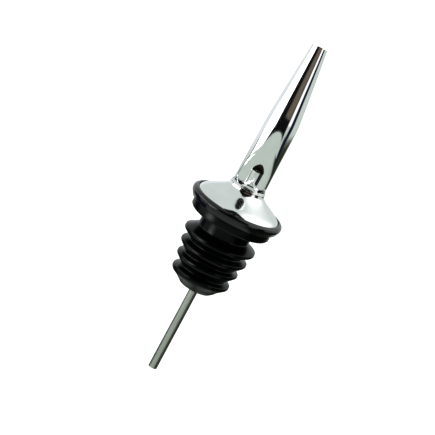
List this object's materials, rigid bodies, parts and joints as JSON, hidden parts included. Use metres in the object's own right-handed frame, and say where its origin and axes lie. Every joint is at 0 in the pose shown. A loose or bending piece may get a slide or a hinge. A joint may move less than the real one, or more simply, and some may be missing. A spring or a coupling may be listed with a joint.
{
  "type": "liquor pour spout",
  "caption": "Tapered chromed free-flow pour spout with a pressed-in vent, domed flange, black collar, finned rubber stopper and breather tube.",
  "frame": {"origin": "on the stopper's axis, in the flat underside of its head, which is the plane of the bottle's lip", "axes": "+Z along the stopper's axis towards the spout's tip; the vent and its rib face -Y; +X to the right when looking at the vent"},
  "size_m": [0.032, 0.032, 0.12],
  "materials": {
    "chrome_plate": "bright chrome plate, mirror polished",
    "bright_solder": "smooth plated-over solder, slightly lumpy",
    "drawn_steel": "satin drawn stainless tube",
    "black_collar": "glossy moulded black plastic",
    "black_rubber": "smooth moulded black rubber, semi-gloss"
  },
  "bodies": {
    "root": {"spout_tube": "chrome_plate", "dome_flange": "chrome_plate", "base_solder": "bright_solder", "vent_solder": "bright_solder", "stem_tube": "drawn_steel", "breather_tube": "drawn_steel", "collar_ring": "black_collar", "stopper": "black_rubber"}
  },
  "joints": []
}
